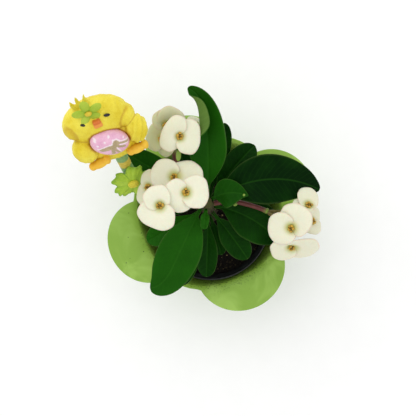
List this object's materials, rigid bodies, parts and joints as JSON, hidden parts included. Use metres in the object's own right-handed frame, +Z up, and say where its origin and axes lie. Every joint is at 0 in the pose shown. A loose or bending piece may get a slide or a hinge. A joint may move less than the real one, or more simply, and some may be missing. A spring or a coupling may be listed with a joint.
{
  "type": "potted euphorbia",
  "caption": "Potted euphorbia with broad leaves and heads of white blooms, in a green plastic cover pot with a petal-shaped rim, with a chick pick and a small moulded flower.",
  "frame": {"origin": "middle of the cover pot's flat base, on the surface the pot stands on", "axes": "+Z up out of the pot; +Y is the side that the tallest leaf leans to, which is up in the picture, taken from above; +X is to the right there"},
  "size_m": [0.1978, 0.186, 0.2364],
  "materials": {
    "cover_green": "satin, pressed plastic",
    "nursery_black": "matt, thermoformed plastic",
    "soil_dark": "crumbly peat compost",
    "stem_bark": "ridged bark with thorns",
    "leaf_green": "waxy, semi-gloss leaf",
    "stalk_red": "smooth reddish stalk",
    "bract_white": "velvety petal-like bract",
    "gland_gold": "waxy glands",
    "stick_wood": "bare wooden stick",
    "chick_yellow": "painted resin moulding",
    "ornament_green": "glittery moulded petals",
    "ornament_yellow": "granular moulded dome"
  },
  "bodies": {
    "root": {"cover_pot": "cover_green", "nursery_pot": "nursery_black", "potting_soil": "soil_dark", "stem": "stem_bark", "leaf_01": "leaf_green", "leaf_02": "leaf_green", "leaf_03": "leaf_green", "leaf_04": "leaf_green", "leaf_05": "leaf_green", "leaf_06": "leaf_green", "leaf_07": "leaf_green", "leaf_08": "leaf_green", "leaf_09": "leaf_green", "leaf_10": "leaf_green", "leaf_11": "leaf_green", "leaf_12": "leaf_green", "leaf_13": "leaf_green", "leaf_14": "leaf_green", "leaf_15": "leaf_green", "leaf_16": "leaf_green", "flower_stalk_a": "stalk_red", "flower_stalk_b": "stalk_red", "flower_stalk_c": "stalk_red", "bloom_a1": "bract_white", "bloom_a1_centre": "gland_gold", "bloom_a2": "bract_white", "bloom_a2_centre": "gland_gold", "bloom_a3": "bract_white", "bloom_a3_centre": "gland_gold", "bloom_a4": "bract_white", "bloom_a4_centre": "gland_gold", "bloom_b1": "bract_white", "bloom_b1_centre": "gland_gold", "bloom_b2": "bract_white", "bloom_b2_centre": "gland_gold", "bloom_b3": "bract_white", "bloom_b3_centre": "gland_gold", "bloom_b4": "bract_white", "bloom_b4_centre": "gland_gold", "bloom_c1": "bract_white", "bloom_c1_centre": "gland_gold", "bloom_c2": "bract_white", "bloom_c2_centre": "gland_gold", "bloom_c3": "bract_white", "bloom_c3_centre": "gland_gold", "bloom_c4": "bract_white", "bloom_c4_centre": "gland_gold", "chick_figure": "chick_yellow", "pick_stick": "stick_wood", "ornament_flower": "ornament_green", "ornament_centre": "ornament_yellow"}
  },
  "joints": []
}
